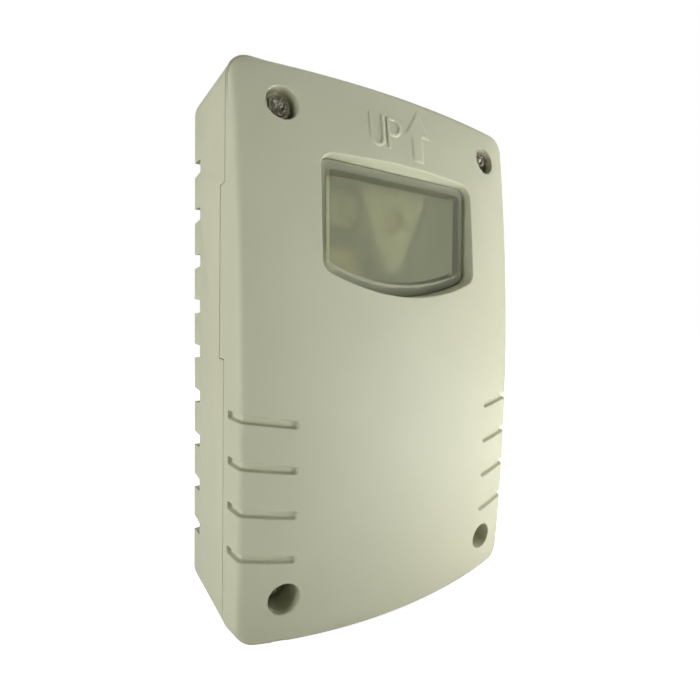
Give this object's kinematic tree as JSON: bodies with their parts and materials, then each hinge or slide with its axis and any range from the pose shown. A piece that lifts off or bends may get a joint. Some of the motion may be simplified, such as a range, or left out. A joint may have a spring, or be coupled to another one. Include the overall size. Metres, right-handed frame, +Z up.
{
  "type": "photoelectric switch",
  "caption": "Wall-mounted twilight switch with a domed, screwed-on front cover, a frosted sensor window, gripping grooves and a notched rim over a light sensor, dial, relay and terminals.",
  "frame": {"origin": "on the wall plane, midway between the two wall screw holes, which is also midway between the upper and lower cover screws", "axes": "+X right seen from the room, +Y into the wall, +Z up along the housing's long side"},
  "size_m": [0.072, 0.0319, 0.1165],
  "materials": {
    "cover_plastic": "moulded, finely grained, matte",
    "base_plastic": "moulded, finely grained, matte",
    "frosted_lens": "frosted, translucent",
    "seal_rubber": "matte",
    "screw_steel": "nickel plated",
    "board_laminate": "solder resist, satin",
    "terminal_plastic": "matte",
    "clamp_brass": "satin",
    "relay_plastic": "satin",
    "relay_iron": "zinc plated",
    "bobbin_plastic": "matte",
    "copper_wire": "enamelled",
    "spring_bronze": "satin",
    "sensor_ceramic": "lacquered",
    "holder_plastic": "matte",
    "trimmer_plastic": "matte",
    "dial_plastic": "matte",
    "film_plastic": "satin",
    "can_sleeve": "satin",
    "varistor_coat": "lacquered",
    "fuse_case": "satin",
    "resistor_coat": "lacquered",
    "diode_case": "matte"
  },
  "bodies": {
    "housing": {"rear_base": "base_plastic", "front_cover": "cover_plastic", "cover_seal": "seal_rubber", "lens_seal": "seal_rubber", "window_lens": "frosted_lens", "cover_screws": "screw_steel", "cable_grommets": "seal_rubber", "circuit_board": "board_laminate", "board_screws": "screw_steel", "terminal_block": "terminal_plastic", "terminal_clamps": "clamp_brass", "terminal_screws": "screw_steel", "relay_case": "relay_plastic", "relay_base": "relay_plastic", "relay_yoke": "relay_iron", "relay_core": "relay_iron", "relay_bobbin": "bobbin_plastic", "relay_winding": "copper_wire", "relay_fixed_contact": "spring_bronze", "light_sensor": "sensor_ceramic", "sensor_holder": "holder_plastic", "trimmer_body": "trimmer_plastic", "film_capacitor": "film_plastic", "smoothing_capacitor": "can_sleeve", "varistor": "varistor_coat", "fuse": "fuse_case", "resistors": "resistor_coat", "diodes": "diode_case"},
    "relay_armature": {"relay_armature": "relay_iron", "relay_contact_spring": "spring_bronze"},
    "trimmer_dial": {"trimmer_dial": "dial_plastic"}
  },
  "joints": [
    {"name": "trimmer_turn", "type": "hinge", "parent": "housing", "child": "trimmer_dial", "pos_m": [-0.0116, -0.0205, 0.0294], "axis": [0, -1, 0], "range_deg": [-135, 135]},
    {"name": "armature_pull_in", "type": "hinge", "parent": "housing", "child": "relay_armature", "pos_m": [-0.0035, -0.02462, -0.009], "axis": [0, 0, -1], "range_deg": [0, 3], "stiffness_Nm_per_rad": 0.02, "springref_deg": -5.73}
  ]
}
